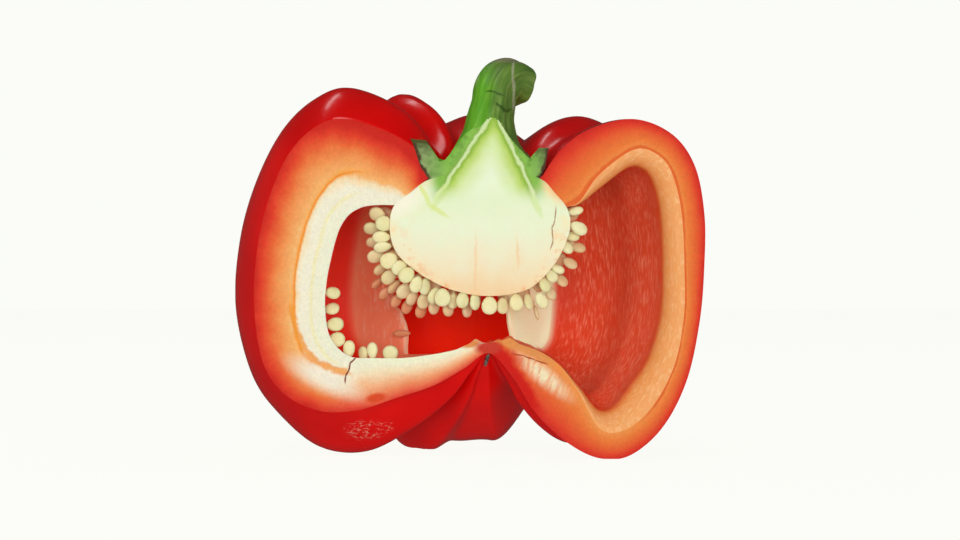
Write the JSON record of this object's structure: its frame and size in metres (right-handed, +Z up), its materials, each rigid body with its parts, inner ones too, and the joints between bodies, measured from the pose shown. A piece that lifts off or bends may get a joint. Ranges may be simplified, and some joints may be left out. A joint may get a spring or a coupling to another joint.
{
  "type": "bell pepper",
  "caption": "Ripe red bell pepper cut open lengthwise, showing its ribs, pale core and seeds, with its green stem.",
  "frame": {"origin": "bottom centre of the bounding box, on the surface that the lobes stand on", "axes": "+Z up along the fruit's axis with the stem on top, -Y the way the cut face looks, +X to its right as it is looked at"},
  "size_m": [0.0956, 0.0487, 0.0812],
  "materials": {
    "wall": "glossy waxy red skin over orange-red and cream cut flesh",
    "core": "moist matt cream flesh with pale yellow seeds",
    "stem": "ribbed green stem, satin, pale where it is cut"
  },
  "bodies": {
    "root": {"wall": "wall", "core": "core", "stem": "stem"}
  },
  "joints": []
}
